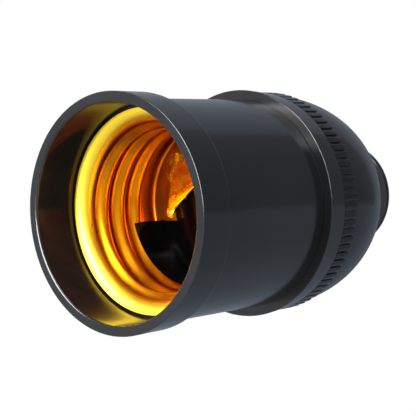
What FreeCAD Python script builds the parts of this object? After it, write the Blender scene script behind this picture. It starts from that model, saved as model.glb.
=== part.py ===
import FreeCAD, Part
import math
import os
from FreeCAD import Placement, Rotation, Vector

# Screw-shell lamp holder with a plain skirt and a ribbed, domed cap.
# Millimetres. +Z runs along the lamp's axis from the threaded neck to the open mouth.
# The origin is the centre of the neck's flat end, on which the holder stands.

# Lengths along the axis, from the neck up
neck_length = 5.115          # flat end to the start of the dome
neck_relief = 0.6            # undercut between the neck's thread and the dome
dome_height = 20.135         # the dome is part of a half ellipse of this height
ribs_above_dome = 0.2        # the ribs' rear ends, above the dome's widest circle
rib_length = 3.6
band_length = 3.85           # plain band between the ribs and the cap's front face
sleeve_length = 22.7         # cap to collar
collar_length = 5.9          # the thicker band round the mouth

# Lamp thread of the screw shell, rolled in sheet brass
pitch = 3.629
minor_r = 12.2               # inside radius at the thread's crests
thread_height = 1.1          # crests to roots
sheet = 0.4                  # thickness of the sheet
root_half_width = 0.62       # half the width of a root
crest_half_width = 0.3145    # half the width of a crest
lip_round = 2.0              # radius of the lip's flare, on the face that shows
lead_in = 1.2                # height of the cone from the flare's throat to the first crest
root_relief = 0.02           # keeps the rolled roots just inside the flare's throat
thread_turns = 3.2           # turns of the groove, which ends in the throat of the flare
thread_rise = 0.05           # plain wall between the floor and the start of the groove
roll_over = 0.1              # how far the groove's section reaches past the sheet's face

# Screw shell, below the mouth's rim
lip_depth = 7.2              # rim to the front of the brass lip
shell_short = 17.4           # rim to the edge of the shell's short half
shell_deep = 22.75           # rim to the inner face of the half floor
half_edge_x = -2.4           # where the short half and the half floor end
floor_bore_r = 8.6           # open middle of the half floor
lug_margin = 0.4             # floor left round the head of each shell screw

# Radial chain, from the shell's sheet out to the mouth's rim
shell_clearance = 0.3        # shell in the contact block
cup_wall = 0.97              # wall of the contact block
turn_clearance = 0.08        # block in the skirt, which turns on it
tail_wall = 0.93             # wall of the skirt's threaded tail
tail_step = 0.52             # tail to sleeve
recess_clearance = 0.35      # lip to the recess's wall
mouth_draft = 0.35           # how much the recess widens to the rim
rim_wall = 1.5
collar_taper = 0.06          # how much the collar narrows to its rear edge
edge_bevel = 0.3             # broken outer edges of the mouldings

# Joint between skirt and cap
spigot_length = 7.0          # length of tail that screws into the cap
thread_clearance = 0.10      # radial clearance of the tail in the cap
end_clearance = 0.06         # axial clearance between parts that turn on each other

# Contact block
slab_thickness = 4.0         # floor that carries the contacts
slab_gap = 0.05              # slab to the underside of the shell's floor
cup_height = 8.9             # front cup, above its floor
rear_wall = 1.5              # wall of the rear cup
rest_height = 1.0            # raised half ring that centres the shell's short half
rest_r = 11.6                # inner radius of that ring
flange_thickness = 1.5
flange_play = 0.18           # flange in the cap's bore
seat_width = 1.0             # ledge of the cap under the flange

# Centre contact
tongue_sheet = 0.5
tongue_bend_x = 8.85         # the round bend from which the leaf springs
tongue_bend_rise = 3.2       # bend above the slab
tongue_tip_x = -0.4
tongue_rise = 7.63           # tip above the bend
tongue_root_half = 3.1       # half width at the bend
tongue_wide_x = 6.4          # the leaf's widest place
tongue_wide_half = 3.5
tongue_shoulder_x = 4.4      # where its straight flanks start
tongue_shoulder_half = 2.96
tongue_tip_half = 0.45
tongue_gap = 0.05            # between the bend's round and its riser
tip_flat = 0.75              # the blunt end turned level
foot_x = 3.6                 # inner end of the bracket's foot
bracket_bend = 0.9           # outside radius of the bracket's bend
window_margin = 0.9          # clear space round the bracket in the shell's floor

# Terminals and fasteners, behind the slab
terminal_sheet = 0.8
terminal_width = 6.0
clamp_side = 5.0             # clamp screws' distance from the axis, away from the contact
clamp_apart = 7.4            # neutral clamp screw's distance to the side
live_aside = -1.5            # live clamp screw's distance to the side
live_reach = 7.6             # live clamp screw's distance from the axis, away from the contact
shell_screw_turn = 50        # degrees from the middle of the half floor to each shell screw
shell_screw_margin = 0.5     # head to the shell's wall
shell_head_r = 2.6
shell_head_height = 0.8
shell_slot_depth = 0.45
screw_r = 1.45               # shank of the clamp and shell screws
clamp_head_r = 2.9
clamp_head_height = 2.0
clamp_slot_depth = 0.9
slot_width = 0.8
hole_clearance = 0.15
washer_r = 3.2
washer_thickness = 0.7
washer_gap = 0.1             # between washer and terminal plate
blind_floor = 0.9            # slab left in front of the clamp screws' holes
nut_side = 5.5
nut_thickness = 1.6
rivet_r = 1.0
rivet_head_r = 1.8
rivet_head_height = 0.6

# Cap
front_wall = 1.42            # cap's bore to the floor between the ribs, at the band
rib_floor_taper = 0.3        # how much that floor narrows to the dome
rib_height = 0.22            # ribs above that floor, at the band
rib_root = 0.3               # how far a rib is sunk into the wall
rib_count = 82
rib_fill = 0.68              # share of the pitch that a rib takes
band_flare = 0.28            # how much the band widens to the front
cap_wall = 1.7               # wall of the dome
insert_bore_r = 4.55         # threaded metal entry in the neck
insert_wall = 2.05
insert_length = 8.0
insert_groove = 0.5
insert_recess = 0.3          # the entry sits this far inside the neck's end
boss_cover = 1.0             # moulding over the entry's inner end
neck_wall = 2.45             # entry to the neck's thread
thread_depth = 0.3           # neck's thread to its undercut
neck_bevel = 0.5

# Radii that follow
major_r = round(minor_r + thread_height, 4)
shell_r = major_r + sheet
lip_r = major_r + lip_round
cup_bore_r = shell_r + shell_clearance
block_r = cup_bore_r + cup_wall
skirt_bore_r = block_r + turn_clearance
spigot_r = skirt_bore_r + tail_wall
sleeve_r = spigot_r + tail_step
recess_floor_r = lip_r + recess_clearance
mouth_r = recess_floor_r + mouth_draft
rim_r = mouth_r + rim_wall
cap_bore_r = spigot_r + thread_clearance
flange_r = cap_bore_r - flange_play
ledge_bore_r = flange_r - seat_width
rib_base_r = cap_bore_r + front_wall
dome_r = rib_base_r - rib_floor_taper
rib_top_r = rib_base_r + rib_height
cap_front_r = rib_top_r + band_flare
insert_r = insert_bore_r + insert_wall
neck_r = insert_r + neck_wall
neck_relief_r = neck_r - thread_depth

# Heights that follow
dome_z = neck_length + dome_height * math.sqrt(1 - (neck_relief_r / dome_r) ** 2)
rib_z = dome_z + ribs_above_dome
band_z = rib_z + rib_length
cap_front_z = band_z + band_length
collar_z = cap_front_z + sleeve_length
total_height = collar_z + collar_length
tail_z = cap_front_z - spigot_length
flange_top_z = tail_z - end_clearance
flange_z = flange_top_z - flange_thickness
ledge_z = flange_z - end_clearance
lip_z = total_height - lip_depth
lip_centre_z = lip_z - lip_round
short_z = total_height - shell_short
floor_z = total_height - shell_deep
slab_top_z = floor_z - sheet - slab_gap
slab_z = slab_top_z - slab_thickness
cup_top_z = slab_top_z + cup_height
shoulder_z = cup_top_z + end_clearance
bend_z = slab_top_z + tongue_bend_rise

flank_slope = (pitch / 2 - crest_half_width - root_half_width) / (major_r - minor_r)


def at(point):
    """A (radius, height) point in the XZ plane."""
    return Vector(point[0], 0, point[1])


def lines(points):
    return [Part.makeLine(at(a), at(b)) for a, b in zip(points, points[1:])]


def revolved(edges):
    """A full turn of the closed outline that these edges make in the XZ plane."""
    return Part.Face(Part.Wire(edges)).revolve(Vector(0, 0, 0), Vector(0, 0, 1), 360)


def turned(points):
    """A full turn of a closed outline of straight edges."""
    return revolved(lines(points + [points[0]]))


def quarter_round(start, end, corner):
    """A quarter circle from start to end, tangent to the straight edges that would meet in the corner."""
    curve = Part.BezierCurve()
    reach = 0.5523           # length of a quarter circle's handles, for a radius of 1
    near_start = at(start) + (at(corner) - at(start)) * reach
    near_end = at(end) + (at(corner) - at(end)) * reach
    curve.setPoles([at(start), near_start, near_end, at(end)])
    return curve.toShape()


def box(x0, x1, y0, y1, z0, z1):
    return Part.makeBox(x1 - x0, y1 - y0, z1 - z0, Vector(x0, y0, z0))


def rod(x, y, z0, z1, radius):
    return Part.makeCylinder(radius, z1 - z0, Vector(x, y, z0))


def spun(shape, degrees):
    """A copy turned about the lamp's axis."""
    copy = shape.copy()
    copy.rotate(Vector(0, 0, 0), Vector(0, 0, 1), degrees)
    return copy


def make_skirt():
    """Collar, sleeve and threaded tail in one moulding, with the seat for the shell's lip inside."""
    collar_rear_r = rim_r - collar_taper
    seat_round = lip_round - sheet - end_clearance
    throat_r = lip_r - seat_round
    return turned([
        (skirt_bore_r, tail_z),
        (spigot_r, tail_z),
        (spigot_r, cap_front_z),
        (sleeve_r, cap_front_z),
        (sleeve_r, collar_z),
        (collar_rear_r - edge_bevel, collar_z),
        (collar_rear_r, collar_z + edge_bevel),
        (rim_r, total_height - edge_bevel),
        (rim_r - edge_bevel, total_height),
        (mouth_r + edge_bevel, total_height),
        (mouth_r, total_height - edge_bevel),
        (recess_floor_r, lip_centre_z + seat_round),
        (lip_r, lip_centre_z + seat_round),
        (throat_r, lip_centre_z),
        (throat_r, shoulder_z),
        (skirt_bore_r, shoulder_z),
    ])


def make_shell_blank():
    """Flared lip, tube and floor of the screw shell before its thread is rolled."""
    crest_r = minor_r + sheet
    outside = lines([
        (0, floor_z - sheet),
        (crest_r, floor_z - sheet),
        (crest_r, floor_z),
        (shell_r, floor_z + flank_slope * (shell_r - crest_r)),
        (shell_r, lip_centre_z),
    ])
    under_lip = (lip_r, lip_z - sheet)
    under_flare = quarter_round((shell_r, lip_centre_z), under_lip, (shell_r, lip_z - sheet))
    lip = Part.makeLine(at(under_lip), at((lip_r, lip_z)))
    flare = quarter_round((lip_r, lip_z), (major_r, lip_centre_z), (major_r, lip_z))
    inside = lines([
        (major_r, lip_centre_z),
        (minor_r, lip_centre_z - lead_in),
        (minor_r, floor_z),
        (0, floor_z),
        (0, floor_z - sheet),
    ])
    return revolved(outside + [under_flare, lip, flare] + inside)


def rolled_groove(profile, start_z, turns):
    """A groove of (radius, height) profile swept up the lamp thread's helix."""
    helix = Part.makeHelix(pitch, pitch * turns, major_r)
    helix.translate(Vector(0, 0, start_z))
    corners = [Vector(r, 0, z + start_z) for r, z in profile]
    section = Part.makePolygon(corners + [corners[0]])
    groove = Part.Wire(helix.Edges).makePipeShell([section], True, True)
    if groove.Volume < 0:
        groove.reverse()
    return groove


def roll_thread(blank):
    """Roots pressed out from inside and, half a pitch higher, the backs of the crests from outside."""
    root_r = major_r - root_relief
    inner_edge = minor_r - roll_over
    mouth_half = pitch / 2 - crest_half_width + flank_slope * roll_over
    inside = [(inner_edge, -mouth_half), (root_r, -root_half_width),
              (root_r, root_half_width), (inner_edge, mouth_half)]
    start = floor_z + mouth_half + thread_rise
    rolled = blank.cut(rolled_groove(inside, start, thread_turns))
    outer_edge = shell_r + roll_over
    thinned = crest_half_width - sheet * math.hypot(1, flank_slope)
    open_half = thinned + flank_slope * (outer_edge - minor_r)
    back_half = thinned + flank_slope * sheet
    back_r = minor_r + sheet
    outside = [(outer_edge, -open_half), (back_r, -back_half), (back_r, back_half), (outer_edge, open_half)]
    outer_start = start + pitch / 2
    outer_end = lip_centre_z - lead_in - crest_half_width
    return rolled.cut(rolled_groove(outside, outer_start, (outer_end - outer_start) / pitch))


def make_screw_shell():
    """Sheet-brass shell: rolled thread, flared lip, one half cut short, an open half floor in the other."""
    shell = roll_thread(make_shell_blank())
    low = floor_z - 2 * sheet
    high = floor_z + sheet
    span = 2 * lip_r
    shell = shell.cut(box(-span, half_edge_x, -span, span, low, short_z))
    well = rod(0, 0, low, high, floor_bore_r)
    well = well.cut([rod(x, y, low, high, shell_head_r + lug_margin) for x, y in shell_screw_places()])
    shell = shell.cut(well)
    window_half = tongue_root_half + window_margin
    window_end = tongue_bend_x + tongue_sheet / 2 + window_margin
    shell = shell.cut(box(foot_x - window_margin, window_end, -window_half, window_half, low, high))
    return shell.cut([rod(x, y, low, high, screw_r + hole_clearance) for x, y in shell_screw_places()])


def shell_screw_places():
    """Two screws hold the shell's half floor, one each side of the centre contact."""
    ring = minor_r - shell_head_r - shell_screw_margin
    angles = (math.radians(-shell_screw_turn), math.radians(shell_screw_turn))
    return [(ring * math.cos(a), ring * math.sin(a)) for a in angles]


def clamp_screw_places():
    """Clamp screws of the live and neutral terminals, at the ends away from the shell's screws."""
    return [(-live_reach, live_aside), (-clamp_side, clamp_apart)]


def rivet_place():
    """Middle of the bracket's foot."""
    return ((foot_x + tongue_bend_x - tongue_sheet) / 2, 0)


def make_contact_block():
    """Black moulded core: a cup for the shell in front, a cup for the wiring behind, a slab between them."""
    rear_bore_r = block_r - rear_wall
    block = turned([
        (0, slab_z),
        (rear_bore_r, slab_z),
        (rear_bore_r, flange_z),
        (flange_r, flange_z),
        (flange_r, flange_top_z),
        (block_r, flange_top_z),
        (block_r, cup_top_z),
        (cup_bore_r, cup_top_z),
        (cup_bore_r, slab_top_z + rest_height),
        (rest_r, slab_top_z + rest_height),
        (rest_r, slab_top_z),
        (0, slab_top_z),
    ])
    span = 2 * cup_bore_r
    shell_side = rod(0, 0, slab_top_z, slab_top_z + rest_height, cup_bore_r)
    shell_side = shell_side.common(box(half_edge_x - shell_clearance, span, -span, span, slab_z, cup_top_z))
    hole_r = screw_r + hole_clearance
    holes = [rod(x, y, slab_z - 1, slab_top_z + 1, hole_r) for x, y in shell_screw_places()]
    for x, y in clamp_screw_places():
        holes.append(rod(x, y, slab_z - 1, slab_top_z - blind_floor, screw_r + 2 * hole_clearance))
    x, y = rivet_place()
    holes.append(rod(x, y, slab_z - 1, slab_top_z + 1, rivet_r + hole_clearance))
    return block.cut([shell_side] + holes)


def make_contact_bracket():
    """Foot and riser of the centre contact, bent from one strip."""
    outer = tongue_bend_x + tongue_sheet / 2
    inner = outer - tongue_sheet
    top = bend_z - tongue_sheet / 2 - tongue_gap
    half = tongue_root_half
    foot = box(foot_x, outer, -half, half, slab_top_z, slab_top_z + tongue_sheet)
    riser = box(inner, outer, -half, half, slab_top_z, top)
    bracket = foot.fuse(riser).removeSplitter()
    outside_edge = [e for e in bracket.Edges if on_edge(e, outer, slab_top_z)]
    bracket = bracket.makeFillet(bracket_bend, outside_edge)
    inside_edge = [e for e in bracket.Edges if on_edge(e, inner, slab_top_z + tongue_sheet)]
    bracket = bracket.makeFillet(bracket_bend - tongue_sheet, inside_edge)
    x, y = rivet_place()
    return bracket.cut(rod(x, y, slab_top_z - 1, slab_top_z + 1, rivet_r + hole_clearance))


def on_edge(edge, x, z):
    """True for the edge that runs along Y at this x and z."""
    return all(abs(v.X - x) < 1e-6 and abs(v.Z - z) < 1e-6 for v in edge.Vertexes)


def make_contact_tongue():
    """Sprung leaf that rises from a round bend to the lamp's axis, with full shoulders and a blunt tip."""
    x0 = tongue_bend_x
    x1 = tongue_tip_x
    slope = tongue_rise / (x0 - x1)
    tip_z = bend_z + tongue_rise
    stretch = math.hypot(1, slope)
    half = tongue_sheet * stretch / 2
    end_x = x1 - tip_flat
    under_bend = (x0 - tongue_sheet / 2 * slope / stretch, bend_z - tongue_sheet / 2 / stretch)
    side = [(x0, bend_z), under_bend, (x1, tip_z - half), (end_x, tip_z - half),
            (end_x, tip_z - half + tongue_sheet), (x1, tip_z + half), (x0, bend_z + half)]
    span = 2 * tongue_wide_half
    profile = [Vector(x, -span, z) for x, z in side]
    leaf = Part.Face(Part.makePolygon(profile + [profile[0]])).extrude(Vector(0, 2 * span, 0))
    leaf = leaf.common(tongue_plan().extrude(Vector(0, 0, total_height - slab_top_z)))
    bead = Part.makeCylinder(tongue_sheet / 2, 2 * tongue_root_half, Vector(x0, -tongue_root_half, bend_z),
                             Vector(0, 1, 0))
    return leaf.fuse(bead).removeSplitter()


def tongue_plan():
    """The leaf seen along the lamp's axis: round shoulders, straight flanks, a half-round end."""

    def flank(side):
        shoulder = Vector(tongue_shoulder_x, side * tongue_shoulder_half, slab_top_z)
        return [
            Part.Arc(Vector(tongue_bend_x, side * tongue_root_half, slab_top_z),
                     Vector(tongue_wide_x, side * tongue_wide_half, slab_top_z), shoulder).toShape(),
            Part.makeLine(shoulder, Vector(nose_x, side * tongue_tip_half, slab_top_z)),
        ]

    end_x = tongue_tip_x - tip_flat
    nose_x = end_x + tongue_tip_half
    nose = Part.Arc(Vector(nose_x, -tongue_tip_half, slab_top_z), Vector(end_x, 0, slab_top_z),
                    Vector(nose_x, tongue_tip_half, slab_top_z)).toShape()
    root = Part.makeLine(Vector(tongue_bend_x, tongue_root_half, slab_top_z),
                         Vector(tongue_bend_x, -tongue_root_half, slab_top_z))
    return Part.Face(Part.Wire(Part.__sortEdges__(flank(-1) + [nose] + flank(1) + [root])))


def headed_screw(place, seat_z, shank_length, up, head):
    """A slotted cheese-head screw; its head is seated at seat_z and its shank runs up, or down."""
    x, y = place
    head_r, head_height, slot_depth = head
    sign = 1 if up else -1
    face_z = seat_z - sign * head_height
    low, high = sorted((seat_z, face_z))
    head = rod(x, y, low, high, head_r)
    low, high = sorted((seat_z, seat_z + sign * shank_length))
    shank = rod(x, y, low, high, screw_r)
    low, high = sorted((face_z, face_z + sign * slot_depth))
    slot = box(x - head_r, x + head_r, y - slot_width / 2, y + slot_width / 2, low, high)
    return head.fuse(shank).cut(slot).removeSplitter()


def make_shell_screws():
    """Two screws down through the half floor and the slab, into the neutral terminal and a nut."""
    length = floor_z - slab_z + nut_thickness
    head = (shell_head_r, shell_head_height, shell_slot_depth)
    screws = [headed_screw(place, floor_z, length, False, head) for place in shell_screw_places()]
    return Part.makeCompound(screws)


def make_shell_nut():
    """Square nut of the first shell screw, under the slab."""
    x, y = shell_screw_places()[0]
    half = nut_side / 2
    nut = box(x - half, x + half, y - half, y + half, slab_z - nut_thickness, slab_z)
    return nut.cut(rod(x, y, slab_z - 2 * nut_thickness, slab_z + 1, screw_r))


def terminal_plate(start, end, start_hole, end_hole):
    """A flat brass strip with round ends under the slab, from one fastener to the other."""
    (x0, y0), (x1, y1) = start, end
    half = terminal_width / 2
    length = math.hypot(x1 - x0, y1 - y0)
    plate = box(0, length, -half, half, 0, terminal_sheet)
    plate = plate.fuse([rod(0, 0, 0, terminal_sheet, half), rod(length, 0, 0, terminal_sheet, half)])
    plate = plate.removeSplitter()
    low, high = -terminal_sheet, 2 * terminal_sheet
    plate = plate.cut([rod(0, 0, low, high, start_hole), rod(length, 0, low, high, end_hole)])
    turn = Rotation(Vector(0, 0, 1), math.degrees(math.atan2(y1 - y0, x1 - x0)))
    plate.Placement = Placement(Vector(x0, y0, slab_z - terminal_sheet), turn)
    return plate


def make_live_terminal():
    """Strip from the centre contact's rivet to the live clamp screw."""
    return terminal_plate(rivet_place(), clamp_screw_places()[0], rivet_r + hole_clearance, screw_r)


def make_neutral_terminal():
    """Strip from the second shell screw, which is tapped into it, to the neutral clamp screw."""
    return terminal_plate(shell_screw_places()[1], clamp_screw_places()[1], screw_r, screw_r)


def make_terminal_screws():
    """The two clamp screws, heads towards the neck."""
    seat_z = slab_z - terminal_sheet - washer_gap - washer_thickness
    length = slab_top_z - blind_floor - hole_clearance - seat_z
    head = (clamp_head_r, clamp_head_height, clamp_slot_depth)
    screws = [headed_screw(place, seat_z, length, True, head) for place in clamp_screw_places()]
    return Part.makeCompound(screws)


def make_terminal_washers():
    """Round clamp washers under the terminal screws' heads."""
    top = slab_z - terminal_sheet - washer_gap
    washers = []
    for x, y in clamp_screw_places():
        washer = rod(x, y, top - washer_thickness, top, washer_r)
        hole = rod(x, y, top - 2 * washer_thickness, top + 1, screw_r + hole_clearance)
        washers.append(washer.cut(hole))
    return Part.makeCompound(washers)


def make_contact_rivet():
    """Rivet through bracket, slab and live terminal, with a head at each end."""
    x, y = rivet_place()
    top = slab_top_z + tongue_sheet
    bottom = slab_z - terminal_sheet
    shank = rod(x, y, bottom, top, rivet_r)
    upper = rod(x, y, top, top + rivet_head_height, rivet_head_r)
    lower = rod(x, y, bottom - rivet_head_height, bottom, rivet_head_r)
    return shank.fuse([upper, lower]).removeSplitter()


def dome_outline():
    """The dome's quarter ellipse, from the neck's undercut to its widest circle."""
    tip = at((0, dome_z - dome_height))
    side = at((dome_r, dome_z))
    long_end, short_end = (tip, side) if dome_height > dome_r else (side, tip)
    ellipse = Part.Ellipse(long_end, short_end, at((0, dome_z)))
    first, last = sorted((ellipse.parameter(side), ellipse.parameter(at((neck_relief_r, neck_length)))))
    if last - first > math.pi:
        first, last = last, first + 2 * math.pi
    return Part.Edge(ellipse, first, last)


def make_dome():
    """Cap without its ribs, from the front face to the neck's end, hollowed for the block and the wiring."""
    neck = lines([
        (neck_r - neck_bevel, 0),
        (neck_r, neck_bevel),
        (neck_r, neck_length - neck_relief),
        (neck_relief_r, neck_length - neck_relief),
        (neck_relief_r, neck_length),
    ])
    band = lines([
        (dome_r, dome_z),
        (rib_base_r, band_z),
        (rib_top_r, band_z),
        (cap_front_r, cap_front_z - edge_bevel),
        (cap_front_r - edge_bevel, cap_front_z),
        (0, cap_front_z),
        (0, 0),
        (neck_r - neck_bevel, 0),
    ])
    return revolved(neck + [dome_outline()] + band).cut(make_cap_hollow())


def make_cap_hollow():
    """What is open in the cap: bore for the tail, seat for the flange, wiring room, hole for the entry."""
    inner_r = dome_r - cap_wall
    inner_height = dome_height - cap_wall
    boss_z = insert_recess + insert_length + boss_cover
    shoulder = min(1, ledge_bore_r / inner_r)
    shoulder_low_z = dome_z - inner_height * math.sqrt(1 - shoulder ** 2)
    middle_z = (shoulder_low_z + boss_z) / 2

    def wall_r(z):
        return inner_r * math.sqrt(1 - ((dome_z - z) / inner_height) ** 2)

    room = turned([
        (0, boss_z),
        (wall_r(boss_z), boss_z),
        (wall_r(middle_z), middle_z),
        (ledge_bore_r, shoulder_low_z),
        (ledge_bore_r, ledge_z),
        (0, ledge_z),
    ])
    neck = rod(0, 0, insert_recess, boss_z + 1, insert_r)
    mouth = rod(0, 0, -1, insert_recess, insert_r + insert_groove)
    bore = rod(0, 0, ledge_z, cap_front_z + 1, cap_bore_r)
    return room.fuse([neck, mouth, bore])


def make_rib():
    """One raised grip rib, whose rear end is a half octagon."""
    half = rib_fill * math.pi * rib_top_r / rib_count
    end_half = half * math.tan(math.pi / 8)
    low_x = dome_r - rib_root
    shoulder_rear_z = rib_z + half - end_half
    side = [(end_half, rib_z), (half, shoulder_rear_z), (half, band_z)]
    corners = [Vector(low_x, y, z) for y, z in side] + [Vector(low_x, -y, z) for y, z in reversed(side)]
    return Part.Face(Part.makePolygon(corners + [corners[0]])).extrude(Vector(rib_top_r - low_x, 0, 0))


def make_rear_cap():
    """Cap with its ring of grip ribs."""
    rib = make_rib()
    ribs = [spun(rib, 360 / rib_count * index) for index in range(rib_count)]
    return make_dome().fuse(ribs)


def make_neck_entry():
    """Metal bush moulded into the neck; its bore takes the lamp's threaded tube."""
    low = insert_recess
    high = insert_recess + insert_length
    middle = (low + high) / 2
    lead = insert_groove / 2
    return turned([
        (insert_bore_r, low + lead),
        (insert_bore_r + lead, low),
        (insert_r, low),
        (insert_r, middle - insert_groove),
        (insert_r - insert_groove, middle - insert_groove),
        (insert_r - insert_groove, middle + insert_groove),
        (insert_r, middle + insert_groove),
        (insert_r, high),
        (insert_bore_r + lead, high),
        (insert_bore_r, high - lead),
    ])


nodes = {
    "skirt": make_skirt,
    "screw_shell": make_screw_shell,
    "contact_block": make_contact_block,
    "contact_bracket": make_contact_bracket,
    "contact_tongue": make_contact_tongue,
    "contact_rivet": make_contact_rivet,
    "shell_screws": make_shell_screws,
    "shell_nut": make_shell_nut,
    "live_terminal": make_live_terminal,
    "neutral_terminal": make_neutral_terminal,
    "terminal_screws": make_terminal_screws,
    "terminal_washers": make_terminal_washers,
    "rear_cap": make_rear_cap,
    "neck_entry": make_neck_entry,
}

os.makedirs("parts", exist_ok=True)
for name, make in nodes.items():
    shape = make()
    shape.exportStep("parts/" + name + ".step")
    print(name, "solids", len(shape.Solids), "valid", shape.isValid(), "volume", round(shape.Volume, 2))
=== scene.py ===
import math

import bpy
from mathutils import Matrix, Vector


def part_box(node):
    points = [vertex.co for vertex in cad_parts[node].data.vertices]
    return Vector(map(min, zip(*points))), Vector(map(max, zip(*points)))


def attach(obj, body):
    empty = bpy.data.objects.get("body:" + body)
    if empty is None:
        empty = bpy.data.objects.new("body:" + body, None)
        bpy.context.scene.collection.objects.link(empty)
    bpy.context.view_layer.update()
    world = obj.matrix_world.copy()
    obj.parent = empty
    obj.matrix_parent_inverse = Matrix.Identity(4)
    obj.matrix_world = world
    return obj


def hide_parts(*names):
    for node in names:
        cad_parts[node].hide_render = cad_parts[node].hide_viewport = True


bl_info = {
    "name": "Lamp Holder Dressing",
    "version": (1, 0, 0),
    "blender": (4, 5, 0),
    "location": "3D View > Sidebar > Lamp Holder",
    "description": "Models the moulded, rolled and sprung pieces of a screw-shell lamp holder",
    "category": "Add Mesh",
}

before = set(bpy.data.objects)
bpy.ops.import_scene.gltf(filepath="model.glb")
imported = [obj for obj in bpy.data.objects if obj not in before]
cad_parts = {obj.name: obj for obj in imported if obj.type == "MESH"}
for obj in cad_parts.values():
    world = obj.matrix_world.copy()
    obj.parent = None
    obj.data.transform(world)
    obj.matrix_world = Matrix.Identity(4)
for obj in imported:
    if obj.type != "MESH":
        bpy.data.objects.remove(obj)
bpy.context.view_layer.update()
skirt_low, skirt_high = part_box("skirt")
shell_low, shell_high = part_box("screw_shell")
block_low, block_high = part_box("contact_block")
leaf_low, leaf_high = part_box("contact_tongue")
cap_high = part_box("rear_cap")[1]
entry_low, entry_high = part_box("neck_entry")
MM = 0.001
SAME_PLACE = 1e-7  # points nearer than this are one point
SEAM = 1e-6  # points nearer than this are merged where a turned piece closes
FINE_EDGE = 0.12 * MM  # rounding of the edges that lie against another piece


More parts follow.
